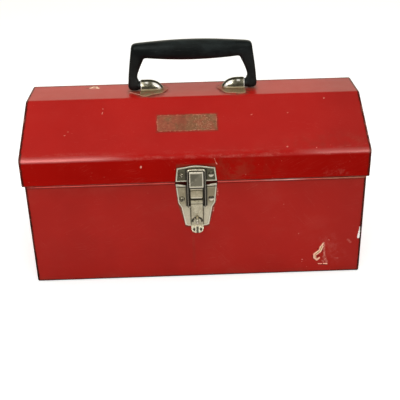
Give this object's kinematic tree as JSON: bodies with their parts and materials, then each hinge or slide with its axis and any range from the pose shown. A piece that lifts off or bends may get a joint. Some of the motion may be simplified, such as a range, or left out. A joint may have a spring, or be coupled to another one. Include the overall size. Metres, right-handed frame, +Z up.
{
  "type": "tool box",
  "caption": "Hip-roof steel tool box with a hinged lid, a front draw latch with padlock staple, and a folding moulded handle on domed brackets.",
  "frame": {"origin": "centre of the body's footprint, on the surface the box stands on", "axes": "+Z up; +X along the length, to the right seen from the latch side; the latch side faces -Y and the hinge side +Y"},
  "size_m": [0.356, 0.2026, 0.2378],
  "materials": {
    "red_paint": "semi-gloss baked enamel, worn",
    "nickel": "tarnished nickel plate",
    "hinge_steel": "plain plated steel",
    "black_plastic": "satin moulded plastic"
  },
  "bodies": {
    "body": {"body_wrapper": "red_paint", "body_end_left": "red_paint", "body_end_right": "red_paint", "hinge_leaf_body": "hinge_steel", "hinge_pin": "hinge_steel", "latch_base_plate": "nickel", "latch_staple": "nickel", "latch_lever_pin": "nickel", "base_plate_rivets": "nickel"},
    "lid": {"lid_cover": "red_paint", "lid_end_left": "red_paint", "lid_end_right": "red_paint", "hinge_leaf_lid": "hinge_steel", "latch_keeper": "nickel", "keeper_rivets": "nickel", "handle_bracket_left": "nickel", "handle_bracket_right": "nickel"},
    "handle": {"handle_grip": "black_plastic"},
    "lever": {"latch_lever": "nickel"},
    "bail": {"latch_bail": "nickel"}
  },
  "joints": [
    {"name": "lid_hinge", "type": "hinge", "parent": "body", "child": "lid", "pos_m": [0, 0.09445, 0.1164], "axis": [-1, 0, 0], "range_deg": [0, 105]},
    {"name": "handle_fold", "type": "hinge", "parent": "lid", "child": "handle", "pos_m": [0, 0.00112, 0.1883], "axis": [1, 0, 0], "range_deg": [-90, 90]},
    {"name": "lever_swing", "type": "hinge", "parent": "body", "child": "lever", "pos_m": [0, -0.0962, 0.0946], "axis": [-1, 0, 0], "range_deg": [0, 105]},
    {"name": "bail_swing", "type": "hinge", "parent": "lever", "child": "bail", "pos_m": [0, -0.0962, 0.0876], "axis": [-1, 0, 0], "range_deg": [-127, 0]}
  ],
  "couplings": [
    {"joint": "bail_swing", "follows": "lever_swing", "ratio": -1.2}
  ]
}
